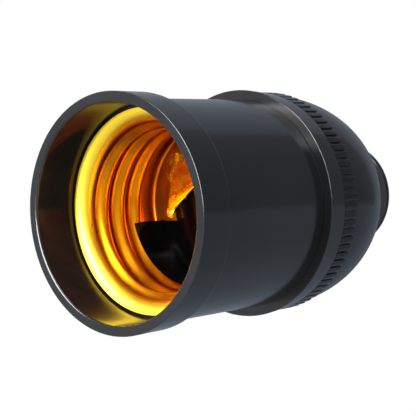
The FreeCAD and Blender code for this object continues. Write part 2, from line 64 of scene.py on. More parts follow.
class HolderSizes(bpy.types.PropertyGroup):
    """Sizes of the modelled pieces; what isn't here is read from the frame."""

    edge: bpy.props.FloatProperty(
        name="Edge radius", description="Rounding of the moulded edges", default=0.35 * MM, unit="LENGTH")
    crisp: bpy.props.FloatProperty(
        name="Crisp edge", description="Rounding of the outermost moulded edges", default=0.09 * MM,
        unit="LENGTH")
    sleeve_r: bpy.props.FloatProperty(
        name="Sleeve radius", description="Outside of the plain sleeve", default=16.5 * MM, unit="LENGTH")
    collar: bpy.props.FloatProperty(
        name="Collar length", description="Thick band round the mouth", default=5.9 * MM, unit="LENGTH")
    collar_taper: bpy.props.FloatProperty(
        name="Collar taper", description="How much the collar narrows to its rear", default=0.06 * MM,
        unit="LENGTH")
    mouth_r: bpy.props.FloatProperty(
        name="Mouth radius", description="Inside of the rim", default=16.0 * MM, unit="LENGTH")
    recess_r: bpy.props.FloatProperty(
        name="Recess radius", description="Inside of the mouth where the lip lies", default=15.65 * MM,
        unit="LENGTH")
    skirt_bore_r: bpy.props.FloatProperty(
        name="Skirt bore", description="Bore round the contact block", default=15.05 * MM, unit="LENGTH")
    tail_r: bpy.props.FloatProperty(
        name="Tail radius", description="Crests of the skirt's fine thread", default=15.98 * MM,
        unit="LENGTH")
    tail_pitch: bpy.props.FloatProperty(
        name="Tail pitch", description="Pitch of the skirt's fine thread", default=2.0 * MM, unit="LENGTH")
    tail_depth: bpy.props.FloatProperty(
        name="Tail depth", description="Depth of the skirt's fine thread", default=0.38 * MM, unit="LENGTH")
    tail_run_out: bpy.props.FloatProperty(
        name="Tail run-out", description="Length over which the tail's thread fades into the sleeve",
        default=1.2 * MM, unit="LENGTH")
    sheet: bpy.props.FloatProperty(
        name="Brass sheet", description="Thickness of the shell's sheet", default=0.4 * MM, unit="LENGTH")
    pitch: bpy.props.FloatProperty(
        name="Lamp thread pitch", description="Pitch of the rolled thread", default=3.629 * MM, unit="LENGTH")
    major_r: bpy.props.FloatProperty(
        name="Thread root", description="Inside radius at the roots", default=13.3 * MM, unit="LENGTH")
    minor_r: bpy.props.FloatProperty(
        name="Thread crest", description="Inside radius at the crests", default=12.2 * MM, unit="LENGTH")
    first_root: bpy.props.FloatProperty(
        name="First root", description="Height of a root above the floor, on the X side", default=1.63 * MM,
        unit="LENGTH")
    flare: bpy.props.FloatProperty(
        name="Lip flare", description="Radius of the lip's rolled edge", default=2.0 * MM, unit="LENGTH")
    lead_in: bpy.props.FloatProperty(
        name="Lead-in", description="Height over which the thread fades into the lip", default=1.2 * MM,
        unit="LENGTH")
    short_edge: bpy.props.FloatProperty(
        name="Short half", description="Rim to the edge of the shell's short half", default=17.4 * MM,
        unit="LENGTH")
    half_edge: bpy.props.FloatProperty(
        name="Half edge", description="Where the shell's short half ends, on the X axis",
        default=-2.4 * MM, unit="LENGTH")
    floor_bore_r: bpy.props.FloatProperty(
        name="Floor opening", description="Open middle of the shell's half floor", default=8.6 * MM,
        unit="LENGTH")
    lug_r: bpy.props.FloatProperty(
        name="Lugs", description="Floor left round each shell screw", default=3.0 * MM, unit="LENGTH")
    lug_ring: bpy.props.FloatProperty(
        name="Lug ring", description="Shell screws' distance from the axis", default=9.1 * MM, unit="LENGTH")
    lug_turn: bpy.props.FloatProperty(
        name="Lug turn", description="Middle of the half floor to each shell screw",
        default=math.radians(50), unit="ROTATION")
    window_start: bpy.props.FloatProperty(
        name="Window start", description="Near end of the floor's window", default=2.7 * MM, unit="LENGTH")
    window_end: bpy.props.FloatProperty(
        name="Window end", description="Far end of the floor's window", default=10.0 * MM, unit="LENGTH")
    window_half: bpy.props.FloatProperty(
        name="Window half", description="Half width of the floor's window", default=4.0 * MM, unit="LENGTH")
    leaf_sheet: bpy.props.FloatProperty(
        name="Leaf sheet", description="Thickness of the sprung leaf", default=0.5 * MM, unit="LENGTH")
    leaf_bow: bpy.props.FloatProperty(
        name="Leaf bow", description="How much the leaf is arched across", default=0.12 * MM, unit="LENGTH")
    leaf_tip: bpy.props.FloatProperty(
        name="Leaf tip", description="Length of the level tip", default=0.75 * MM, unit="LENGTH")
    leaf_edge: bpy.props.FloatProperty(
        name="Leaf edge", description="Rounding of the leaf's edges", default=0.18 * MM, unit="LENGTH")
    leaf_widest: bpy.props.FloatProperty(
        name="Leaf widest", description="Where the leaf is widest, on the X axis", default=6.4 * MM,
        unit="LENGTH")
    leaf_root_half: bpy.props.FloatProperty(
        name="Leaf root", description="Half the leaf's width at its bend", default=3.1 * MM, unit="LENGTH")
    leaf_shoulder: bpy.props.FloatProperty(
        name="Leaf shoulder", description="Where the leaf's straight flanks start, on the X axis",
        default=4.4 * MM, unit="LENGTH")
    leaf_shoulder_half: bpy.props.FloatProperty(
        name="Shoulder half", description="Half the leaf's width at its shoulder", default=2.96 * MM,
        unit="LENGTH")
    leaf_nose: bpy.props.FloatProperty(
        name="Leaf nose", description="Radius of the leaf's round end", default=0.45 * MM, unit="LENGTH")
    cap_bore_r: bpy.props.FloatProperty(
        name="Cap bore", description="Bore for the skirt's tail", default=16.08 * MM, unit="LENGTH")
    band_rear_r: bpy.props.FloatProperty(
        name="Band rear", description="Radius where the smooth band ends", default=17.72 * MM, unit="LENGTH")
    band: bpy.props.FloatProperty(
        name="Band length", description="Smooth band in front of the ribs", default=3.85 * MM, unit="LENGTH")
    rib: bpy.props.FloatProperty(
        name="Rib length", description="Length of the grip ribs", default=3.6 * MM, unit="LENGTH")
    rib_base_r: bpy.props.FloatProperty(
        name="Rib foot", description="Radius between the ribs, at the band", default=17.5 * MM, unit="LENGTH")
    rib_count: bpy.props.IntProperty(name="Ribs", description="Grip ribs round the cap", default=82)
    rib_fill: bpy.props.FloatProperty(
        name="Rib share", description="Share of the pitch that a rib takes", default=0.74, subtype="FACTOR")
    rib_edge: bpy.props.FloatProperty(
        name="Rib edge", description="Rounding of the ribs' top edges", default=0.14 * MM, unit="LENGTH")
    dome_r: bpy.props.FloatProperty(
        name="Dome radius", description="Half width of the elliptical dome", default=17.2 * MM, unit="LENGTH")
    dome_height: bpy.props.FloatProperty(
        name="Dome height", description="Half height of the elliptical dome", default=20.135 * MM,
        unit="LENGTH")
    cap_wall: bpy.props.FloatProperty(
        name="Cap wall", description="Wall of the dome", default=1.7 * MM, unit="LENGTH")
    neck_r: bpy.props.FloatProperty(
        name="Neck radius", description="Crests of the neck's fine thread", default=9.05 * MM, unit="LENGTH")
    neck_pitch: bpy.props.FloatProperty(
        name="Neck pitch", description="Pitch of the neck's fine thread", default=0.75 * MM, unit="LENGTH")
    neck_depth: bpy.props.FloatProperty(
        name="Neck depth", description="Depth of the neck's fine thread", default=0.28 * MM, unit="LENGTH")
    entry_depth: bpy.props.FloatProperty(
        name="Entry depth", description="Depth of the entry's inside thread", default=0.45 * MM,
        unit="LENGTH")
    entry_pitch: bpy.props.FloatProperty(
        name="Entry pitch", description="Pitch of the entry's inside thread", default=1.0 * MM, unit="LENGTH")
    entry_crest_r: bpy.props.FloatProperty(
        name="Entry bore", description="Crests of the entry's inside thread", default=4.55 * MM,
        unit="LENGTH")
    seat_r: bpy.props.FloatProperty(
        name="Flange seat", description="Bore of the ledge under the block's flange", default=14.9 * MM,
        unit="LENGTH")
    play: bpy.props.FloatProperty(
        name="Play", description="Clearance between pieces that turn on each other", default=0.06 * MM,
        unit="LENGTH")
    turns: bpy.props.IntProperty(name="Segments", description="Steps round a turned piece", default=192)


class HolderColours(bpy.types.PropertyGroup):
    """Colours of the finishes and of the stage."""

    moulding: bpy.props.FloatVectorProperty(
        name="Moulding", description="Black of the skirt and cap", default=(0.0085, 0.0090, 0.0105),
        subtype="COLOR")
    flow: bpy.props.FloatVectorProperty(
        name="Flow marks", description="Paler streaks in the moulding", default=(0.0125, 0.013, 0.0145),
        subtype="COLOR")
    dust: bpy.props.FloatVectorProperty(
        name="Dust", description="Fine specks on the moulding", default=(0.05, 0.05, 0.052),
        subtype="COLOR")
    core: bpy.props.FloatVectorProperty(
        name="Core", description="Black of the contact block", default=(0.004, 0.004, 0.0045),
        subtype="COLOR")
    core_cloud: bpy.props.FloatVectorProperty(
        name="Core clouds", description="Paler patches of the contact block", default=(0.010, 0.009, 0.008),
        subtype="COLOR")
    lip: bpy.props.FloatVectorProperty(
        name="Lip", description="Bare brass of the shell's lip", default=(0.98, 0.65, 0.045),
        subtype="COLOR")
    # brass and brass_dark are darkened and reddened as painted shade and interreflection inside the hollow
    # shell; the patches between them are tarnish
    brass: bpy.props.FloatVectorProperty(
        name="Brass", description="Bright parts of the shell", default=(0.72, 0.235, 0.004),
        subtype="COLOR")
    brass_dark: bpy.props.FloatVectorProperty(
        name="Tarnish", description="Dull parts of the shell", default=(0.36, 0.115, 0.004),
        subtype="COLOR")
    # corner is painted shade: the dark brown that the shell's wall takes just above its floor, where shade
    # falls in the corner
    corner: bpy.props.FloatVectorProperty(
        name="Corner", description="Brown wall round the shell's floor", default=(0.15, 0.05, 0.004),
        subtype="COLOR")
    specks: bpy.props.FloatVectorProperty(
        name="Specks", description="Dark specks on the shell", default=(0.10, 0.03, 0.002),
        subtype="COLOR")
    leaf: bpy.props.FloatVectorProperty(
        name="Leaf", description="Sprung contact", default=(0.97, 0.62, 0.02), subtype="COLOR")
    leaf_dull: bpy.props.FloatVectorProperty(
        name="Dull leaf", description="Handled patches of the leaf", default=(0.62, 0.28, 0.010),
        subtype="COLOR")
    leaf_specks: bpy.props.FloatVectorProperty(
        name="Leaf specks", description="Dark specks on the leaf", default=(0.16, 0.05, 0.01),
        subtype="COLOR")
    strip: bpy.props.FloatVectorProperty(
        name="Strip", description="Terminal strips", default=(0.80, 0.56, 0.22), subtype="COLOR")
    strip_dull: bpy.props.FloatVectorProperty(
        name="Dull strip", description="Grain of the terminal strips", default=(0.62, 0.40, 0.13),
        subtype="COLOR")
    steel: bpy.props.FloatVectorProperty(
        name="Steel", description="Screws and entry", default=(0.62, 0.62, 0.60), subtype="COLOR")
    plating: bpy.props.FloatVectorProperty(
        name="Plating", description="Bluish clouds of the steel's plating", default=(0.46, 0.47, 0.50),
        subtype="COLOR")
    floor: bpy.props.FloatVectorProperty(
        name="Floor", description="Paper under the holder", default=(0.80, 0.81, 0.83),
        subtype="COLOR")
    fibre: bpy.props.FloatVectorProperty(
        name="Fibre", description="Darker fibre of the paper", default=(0.78, 0.79, 0.81),
        subtype="COLOR")
    blue_card: bpy.props.FloatVectorProperty(
        name="Blue card", description="Card round the holder", default=(0.27, 0.31, 0.36),
        subtype="COLOR")
    grey_card: bpy.props.FloatVectorProperty(
        name="Grey card", description="Card before the holder", default=(0.14, 0.14, 0.15),
        subtype="COLOR")
    daylight: bpy.props.FloatVectorProperty(
        name="Daylight", description="Light from all round", default=(0.90, 0.95, 1.0),
        subtype="COLOR")


def sizes():
    return bpy.context.scene.holder_sizes


def colours():
    return bpy.context.scene.holder_colours


def deselect():
    """Leave edit mode with nothing selected."""
    if bpy.context.object and bpy.context.object.mode != "OBJECT":
        bpy.ops.object.mode_set(mode="OBJECT")
    bpy.ops.object.select_all(action="DESELECT")


def context_object_named(name):
    """The object just added, under its own name."""
    piece = bpy.context.object
    piece.name = name
    return piece


def arc(centre, radius, start, end, steps=6):
    """Points of a circular arc in the radius-height plane, angles in degrees."""
    turn = [math.radians(start + (end - start) * i / steps) for i in range(steps + 1)]
    return [(centre[0] + radius * math.cos(a), centre[1] + radius * math.sin(a)) for a in turn]


def line(start, end, step):
    """Points from start to end, evenly spaced at about the given step."""
    length = math.hypot(end[0] - start[0], end[1] - start[1])
    count = max(1, round(length / step))
    return [(start[0] + (end[0] - start[0]) * i / count, start[1] + (end[1] - start[1]) * i / count)
            for i in range(count + 1)]


def without_repeats(points):
    """The chain without the points that repeat the one before."""
    kept = [points[0]]
    for point in points[1:]:
        if math.hypot(point[0] - kept[-1][0], point[1] - kept[-1][1]) > SAME_PLACE:
            kept.append(point)
    return kept


def draw_outline(name, points):
    """An object whose mesh is one chain of edges through (radius, height) points, left in edit mode."""
    deselect()
    points = without_repeats(points)
    bpy.ops.mesh.primitive_plane_add(size=MM, location=(points[0][0], 0, points[0][1]))
    piece = context_object_named(name)
    bpy.ops.object.transform_apply()
    bpy.ops.object.mode_set(mode="EDIT")
    bpy.ops.mesh.select_mode(type="VERT")
    bpy.ops.mesh.select_all(action="SELECT")
    bpy.ops.mesh.merge(type="CENTER")
    for before, after in zip(points, points[1:]):
        step = (after[0] - before[0], 0, after[1] - before[1])
        bpy.ops.mesh.extrude_region_move(TRANSFORM_OT_translate={"value": step})
    return piece


def held_flat(points, gap=0.04 * MM, long=0.5 * MM):
    """The outline with a point near both ends of each long step, so that shading stays flat along it."""
    kept = [points[0]]
    for (r, z), (next_r, next_z) in zip(points, points[1:]):
        length = math.hypot(next_r - r, next_z - z)
        if length > long:
            for share in (gap / length, 1 - gap / length):
                kept.append((r + (next_r - r) * share, z + (next_z - z) * share))
        kept.append((next_r, next_z))
    return kept


def spin_outline(name, points, closed=True):
    """Turn an outline about the lamp's axis. A closed outline ends where it starts."""
    if closed:
        points = held_flat(points + [points[0]])
    piece = draw_outline(name, points)
    bpy.ops.mesh.select_all(action="SELECT")
    bpy.ops.mesh.spin(steps=sizes().turns, angle=2 * math.pi, center=(0, 0, 0), axis=(0, 0, 1))
    bpy.ops.mesh.select_all(action="SELECT")
    bpy.ops.mesh.remove_doubles(threshold=SEAM)
    bpy.ops.mesh.normals_make_consistent(inside=False)
    bpy.ops.object.mode_set(mode="OBJECT")
    return piece


def reshape(piece, new_radius):
    """Move each vertex to the radius that new_radius gives for its radius, turn and height."""
    for vertex in piece.data.vertices:
        x, y, z = vertex.co
        r = math.hypot(x, y)
        if r > SEAM:
            share = new_radius(r, math.atan2(y, x), z) / r
            vertex.co = (x * share, y * share, z)
    piece.data.update()


def smooth(piece, degrees=35):
    """Shade a piece smooth, apart from its sharper edges."""
    deselect()
    piece.select_set(True)
    bpy.context.view_layer.objects.active = piece
    bpy.ops.object.shade_smooth_by_angle(angle=math.radians(degrees))


def apply_modifier(piece, kind, **values):
    """Add one modifier with these values and apply it."""
    deselect()
    piece.select_set(True)
    bpy.context.view_layer.objects.active = piece
    modifier = piece.modifiers.new(kind.title(), kind)
    for key, value in values.items():
        setattr(modifier, key, value)
    bpy.ops.object.modifier_apply(modifier=modifier.name)


def ramp(low, high, value):
    """0 below low, 1 above high, smooth between."""
    t = min(1.0, max(0.0, (value - low) / (high - low)))
    return t * t * (3 - 2 * t)


def thread_wave(turn, z, start, pitch):
    """1 on a root and 0 on a crest of a right-hand thread whose root passes height start on the X side."""
    phase = (z - start) / pitch - turn / (2 * math.pi)
    return 0.5 + 0.5 * math.cos(2 * math.pi * phase)


def finish_piece(piece, material, body, slot, *nodes):
    """Give a modelled piece its finish, its body and the frame nodes it stands for."""
    if not piece.data.materials:
        piece.data.materials.append(bpy.data.materials[material])
    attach(piece, body)
    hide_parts(*nodes)


def dress_node(name, material):
    """Give a piece of the frame its finish."""
    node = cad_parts[name]
    node.data.materials.clear()
    node.data.materials.append(bpy.data.materials[material])


class Finish:
    """A procedural material under construction, on the piece's own coordinates."""

    def __init__(self, name, colour, metallic=0.0, roughness=0.2):
        self.material = bpy.data.materials.new(name)
        self.material.use_nodes = True
        self.tree = self.material.node_tree
        self.surface = self.tree.nodes["Principled BSDF"]
        self.surface.inputs["Base Color"].default_value = (*colour, 1)
        self.surface.inputs["Metallic"].default_value = metallic
        self.surface.inputs["Roughness"].default_value = roughness
        self.place = self.tree.nodes.new("ShaderNodeTexCoord").outputs["Object"]

    def noise(self, scale, detail=4.0, stretch=(1, 1, 1)):
        """Noise of a given scale, stretched along the axes."""
        mapping = self.tree.nodes.new("ShaderNodeMapping")
        mapping.inputs["Scale"].default_value = stretch
        self.tree.links.new(self.place, mapping.inputs["Vector"])
        node = self.tree.nodes.new("ShaderNodeTexNoise")
        node.inputs["Scale"].default_value = scale
        node.inputs["Detail"].default_value = detail
        self.tree.links.new(mapping.outputs["Vector"], node.inputs["Vector"])
        return node.outputs["Fac"]

    def height(self):
        """Height above the neck's flat end."""
        node = self.tree.nodes.new("ShaderNodeSeparateXYZ")
        self.tree.links.new(self.place, node.inputs["Vector"])
        return node.outputs["Z"]

    def specks(self, scale):
        """Distance to scattered points."""
        node = self.tree.nodes.new("ShaderNodeTexVoronoi")
        node.inputs["Scale"].default_value = scale
        self.tree.links.new(self.place, node.inputs["Vector"])
        return node.outputs["Distance"]

    def between(self, value, low, high, new_low=0.0, new_high=1.0):
        """Map a value from one range to another, clamped."""
        node = self.tree.nodes.new("ShaderNodeMapRange")
        node.inputs["From Min"].default_value = low
        node.inputs["From Max"].default_value = high
        node.inputs["To Min"].default_value = new_low
        node.inputs["To Max"].default_value = new_high
        self.tree.links.new(value, node.inputs["Value"])
        return node.outputs["Result"]

    def times(self, first, second):
        """The product of two values."""
        node = self.tree.nodes.new("ShaderNodeMath")
        node.operation = "MULTIPLY"
        for socket, value in zip(node.inputs, (first, second)):
            self.tree.links.new(value, socket)
        return node.outputs["Value"]

    def mix(self, share, first, second):
        """Mix two colours; each is a colour or another node's output."""
        node = self.tree.nodes.new("ShaderNodeMix")
        node.data_type = "RGBA"
        self.tree.links.new(share, node.inputs["Factor"])
        colour_sockets = [socket for socket in node.inputs if socket.type == "RGBA"]
        for socket, value in zip(colour_sockets, (first, second)):
            if hasattr(value, "node"):
                self.tree.links.new(value, socket)
            else:
                socket.default_value = (*value, 1)
        return next(socket for socket in node.outputs if socket.type == "RGBA")

    def set_colour(self, output):
        self.tree.links.new(output, self.surface.inputs["Base Color"])

    def set_roughness(self, output):
        self.tree.links.new(output, self.surface.inputs["Roughness"])

    def set_gloss(self, level):
        self.surface.inputs["Specular IOR Level"].default_value = level

    def bump(self, output, strength, distance):
        node = self.tree.nodes.new("ShaderNodeBump")
        node.inputs["Strength"].default_value = strength
        node.inputs["Distance"].default_value = distance
        self.tree.links.new(output, node.inputs["Height"])
        self.tree.links.new(node.outputs["Normal"], self.surface.inputs["Normal"])


def moulded_black(name="moulded_black", gloss=0.5):
    """Pressed thermoset: glossy near-black with faint flow marks, specks of dust and orange peel."""
    c = colours()
    finish = Finish(name, c.moulding)
    finish.set_gloss(gloss)
    flow = finish.noise(120, 5, stretch=(1, 1, 0.35))
    dust = finish.between(finish.specks(420), 0.0, 0.07, 1.0, 0.0)
    rare = finish.between(finish.noise(60, 2), 0.60, 0.66)
    streaked = finish.mix(finish.between(flow, 0.35, 0.75), c.moulding, c.flow)
    finish.set_colour(finish.mix(finish.times(dust, rare), streaked, c.dust))
    finish.set_roughness(finish.between(flow, 0.3, 0.75, 0.13, 0.21))
    finish.bump(finish.noise(900, 3), 0.05, 0.04 * MM)
    return finish.material


def core_black():
    """Smooth, deep black moulding of the contact block."""
    c = colours()
    finish = Finish("core_black", c.core)
    finish.set_gloss(0.2)
    cloud = finish.noise(300, 4)
    finish.set_colour(finish.mix(finish.between(cloud, 0.4, 0.8), c.core, c.core_cloud))
    finish.set_roughness(finish.between(cloud, 0.3, 0.8, 0.06, 0.16))
    finish.bump(finish.noise(1200, 2), 0.04, 0.03 * MM)
    return finish.material


def rolled_brass():
    """Rolled sheet brass: bare and bright at the lip; inside, browner with tarnish and painted shade; with
    specks and rolling lines.
    """
    s, c = sizes(), colours()
    finish = Finish("rolled_brass", c.brass, metallic=1.0)
    patches = finish.between(finish.noise(140, 5), 0.42, 0.70)
    rolled = finish.mix(patches, c.brass, c.brass_dark)
    height, throat_z, floor_z = finish.height(), shell_high.z - s.flare, shell_low.z + s.sheet
    # Painted shade: below the lip's throat the shell takes the darker inside colours, above it the bright lip
    # colour
    bare = finish.between(height, throat_z - 0.3 * MM, throat_z + 0.3 * MM)
    # Painted shade: the band of wall from just above the floor to about 2.8 mm up turns to the dark brown
    # corner colour
    above_floor = finish.between(height, floor_z + 0.2 * MM, floor_z + 0.6 * MM)
    shaded_low_wall = finish.between(height, floor_z + 1.2 * MM, floor_z + 2.8 * MM, 1.0, 0.0)
    inside = finish.mix(finish.times(above_floor, shaded_low_wall), rolled, c.corner)
    spots = finish.times(finish.between(finish.specks(700), 0.05, 0.16, 1.0, 0.0),
                         finish.between(finish.noise(220, 3), 0.52, 0.62))
    finish.set_colour(finish.mix(spots, finish.mix(bare, inside, c.lip), c.specks))
    finish.set_roughness(finish.between(bare, 0.0, 1.0, 0.28, 0.36))
    finish.surface.inputs["Specular Tint"].default_value = (1.0, 0.55, 0.20, 1)
    finish.bump(finish.noise(260, 6, stretch=(1, 1, 14)), 0.12, 0.03 * MM)
    return finish.material


def spring_brass():
    """Spring strip of the leaf, its foot and the shell screws: half bright, mottled by handling."""
    c = colours()
    finish = Finish("spring_brass", c.leaf, metallic=1.0)
    mottle = finish.between(finish.noise(600, 6), 0.45, 0.62)
    spots = finish.between(finish.specks(1100), 0.06, 0.18, 1.0, 0.0)
    patchy = finish.between(finish.noise(300, 2), 0.50, 0.58)
    mottled = finish.mix(mottle, c.leaf, c.leaf_dull)
    finish.set_colour(finish.mix(finish.times(spots, patchy), mottled, c.leaf_specks))
    finish.set_roughness(finish.between(mottle, 0.0, 1.0, 0.16, 0.34))
    finish.bump(finish.noise(900, 4), 0.08, 0.03 * MM)
    return finish.material


def strip_brass():
    """Punched terminal strip."""
    c = colours()
    finish = Finish("strip_brass", c.strip, metallic=1.0)
    grain = finish.noise(500, 4, stretch=(1, 12, 1))
    finish.set_colour(finish.mix(finish.between(grain, 0.35, 0.7), c.strip, c.strip_dull))
    finish.set_roughness(finish.between(grain, 0.3, 0.7, 0.24, 0.40))
    return finish.material


def plated_steel():
    """Zinc-plated steel with a slight blue cast and cloudy plating."""
    c = colours()
    finish = Finish("plated_steel", c.steel, metallic=1.0)
    cloud = finish.noise(400, 5)
    finish.set_colour(finish.mix(finish.between(cloud, 0.35, 0.75), c.steel, c.plating))
    finish.set_roughness(finish.between(cloud, 0.3, 0.7, 0.22, 0.42))
    finish.bump(finish.noise(1500, 3), 0.06, 0.03 * MM)
    return finish.material


class OBJECT_OT_holder_skirt(bpy.types.Operator):
    """Collar, sleeve and threaded tail, turned as one moulding"""

    bl_idname = "object.holder_skirt"
    bl_label = "Skirt"

    def execute(self, context):
        s = sizes()
        top, tail_z, rim_r = skirt_high.z, skirt_low.z, skirt_high.x
        collar_z = top - s.collar
        sleeve_end_z = cap_high.z
        rear_r = rim_r - s.collar_taper
        lip_r = shell_high.x
        seat_z = shell_high.z - s.flare
        seat_round = s.flare - s.sheet - s.play
        shoulder_z = block_high.z + s.play
        small, sleeve_foot, thread_step, sharpness = FINE_EDGE, 2 * MM, 0.2 * MM, 1.5
        outline = [(s.skirt_bore_r, tail_z)]
        outline += line((s.tail_r - s.tail_depth, tail_z), (s.tail_r, sleeve_end_z), thread_step)
        outline += arc((s.sleeve_r - small, sleeve_end_z + small), small, -90, 0, steps=3)
        outline += [(s.sleeve_r, sleeve_end_z + sleeve_foot), (s.sleeve_r, collar_z - small)]
        outline += arc((s.sleeve_r + small, collar_z - small), small, 180, 90, steps=3)
        outline += arc((rear_r - s.edge, collar_z + s.edge), s.edge, -90, 0)
        outline += arc((rim_r - s.crisp, top - s.crisp), s.crisp, 0, 90)
        outline += arc((s.mouth_r + s.edge, top - s.edge), s.edge, 90, 180)
        outline += [(s.recess_r, seat_z + seat_round)]
        outline += arc((lip_r, seat_z), seat_round, 90, 180, steps=8)
        outline += [(lip_r - seat_round, shoulder_z), (s.skirt_bore_r, shoulder_z)]
        skirt = spin_outline("skirt_moulding", outline)
        run_out = sleeve_end_z - s.tail_run_out

        def tail_thread(r, turn, z):
            if r < s.tail_r - s.tail_depth - small or z > sleeve_end_z - small or z < tail_z + small:
                return r
            groove = thread_wave(turn, z, tail_z, s.tail_pitch) ** sharpness
            fade = 1 - ramp(run_out, sleeve_end_z - small, z)
            return s.tail_r - s.tail_depth * (1 - groove) * fade

        reshape(skirt, tail_thread)
        smooth(skirt)
        finish_piece(skirt, "moulded_black", "skirt", "black_moulding", "skirt")
        return {"FINISHED"}


class OBJECT_OT_holder_shell(bpy.types.Operator):
    """Brass lamp shell: rolled thread, flared lip, one half cut short, a half floor in the other"""

    bl_idname = "object.holder_shell"
    bl_label = "Screw shell"

    def execute(self, context):
        s = sizes()
        floor_z = shell_low.z + s.sheet
        lip_r, throat_z = shell_high.x, shell_high.z - s.flare
        corner, floor_step, wall_step = 0.5 * MM, 1.0 * MM, 0.14 * MM
        outline = line((0, floor_z), (s.major_r - corner, floor_z), floor_step)
        outline += arc((s.major_r - corner, floor_z + corner), corner, -90, 0, steps=4)
        outline += line((s.major_r, floor_z + corner), (s.major_r, throat_z), wall_step)
        outline += arc((lip_r, throat_z), s.flare, 180, 90, steps=14)[1:]
        shell = spin_outline("brass_shell", outline, closed=False)
        start = floor_z + s.first_root

        def thread(r, turn, z):
            lowest_root = start + s.pitch * turn / (2 * math.pi)
            if z < max(lowest_root, floor_z + corner) or z > throat_z + SAME_PLACE:
                return r
            crest = 1 - thread_wave(turn, z, start, s.pitch)
            return r - (s.major_r - s.minor_r) * crest * (1 - ramp(throat_z - s.lead_in, throat_z, z))

        reshape(shell, thread)
        self.cut_short_half(shell)
        self.face_inwards(shell)
        apply_modifier(shell, "SOLIDIFY", thickness=s.sheet, offset=-1.0, use_even_offset=True)
        self.open_floor(shell, floor_z)
        smooth(shell, 40)
        finish_piece(shell, "rolled_brass", "core", "shell_brass", "screw_shell")
        return {"FINISHED"}

    def cut_short_half(self, shell):
        """Split the sheet along the cut planes and take the short half's lower part away."""
        s = sizes()
        short_z = skirt_high.z - s.short_edge
        deselect()
        shell.select_set(True)
        bpy.context.view_layer.objects.active = shell
        bpy.ops.object.mode_set(mode="EDIT")
        for place, normal in (((0, 0, short_z), (0, 0, 1)), ((s.half_edge, 0, 0), (1, 0, 0))):
            bpy.ops.mesh.select_all(action="SELECT")
            bpy.ops.mesh.bisect(plane_co=place, plane_no=normal)
        bpy.ops.mesh.select_all(action="DESELECT")
        bpy.ops.mesh.select_mode(type="FACE")
        bpy.ops.object.mode_set(mode="OBJECT")
        for face in shell.data.polygons:
            face.select = face.center.z < short_z and face.center.x < s.half_edge
        bpy.ops.object.mode_set(mode="EDIT")
        bpy.ops.mesh.delete(type="FACE")
        bpy.ops.object.mode_set(mode="OBJECT")

    def open_floor(self, shell, floor_z):
        """Cut the open middle, with a lug round each screw, and the window for the contact."""
        s = sizes()
        middle_z = floor_z - s.sheet / 2
        through, past_well = 6 * s.sheet, 10 * s.sheet
        well = self.cutter("well", s.floor_bore_r, 0, 0, middle_z, through)
        for side in (-1, 1):
            x, y = s.lug_ring * math.cos(s.lug_turn), side * s.lug_ring * math.sin(s.lug_turn)
            lug = self.cutter("lug", s.lug_r, x, y, middle_z, past_well)
            apply_modifier(well, "BOOLEAN", object=lug, operation="DIFFERENCE", solver="EXACT")
            bpy.data.objects.remove(lug)
        deselect()
        middle_x = (s.window_start + s.window_end) / 2
        bpy.ops.mesh.primitive_cube_add(size=1, location=(middle_x, 0, middle_z))
        window = context_object_named("window")
        bpy.ops.transform.resize(value=(s.window_end - s.window_start, 2 * s.window_half, through))
        bpy.ops.object.transform_apply()
        for hole in (well, window):
            apply_modifier(shell, "BOOLEAN", object=hole, operation="DIFFERENCE", solver="EXACT")
            bpy.data.objects.remove(hole)

    def cutter(self, name, radius, x, y, z, depth, sides=96):
        """An upright cylinder to cut with."""
        deselect()
        bpy.ops.mesh.primitive_cylinder_add(vertices=sides, radius=radius, depth=depth, location=(x, y, z))
        tool = context_object_named(name)
        bpy.ops.object.transform_apply()
        return tool

    def face_inwards(self, shell):
        """Faces look at the axis, so that the sheet's thickness grows outwards."""
        below_lip = 0.8 * shell_high.z
        wall = max(shell.data.polygons, key=lambda face: face.center.z < below_lip and abs(face.normal.x))
        if wall.normal.dot(wall.center * Vector((1, 1, 0))) > 0:
            bpy.ops.object.mode_set(mode="EDIT")
            bpy.ops.mesh.select_all(action="SELECT")
            bpy.ops.mesh.flip_normals()
            bpy.ops.object.mode_set(mode="OBJECT")


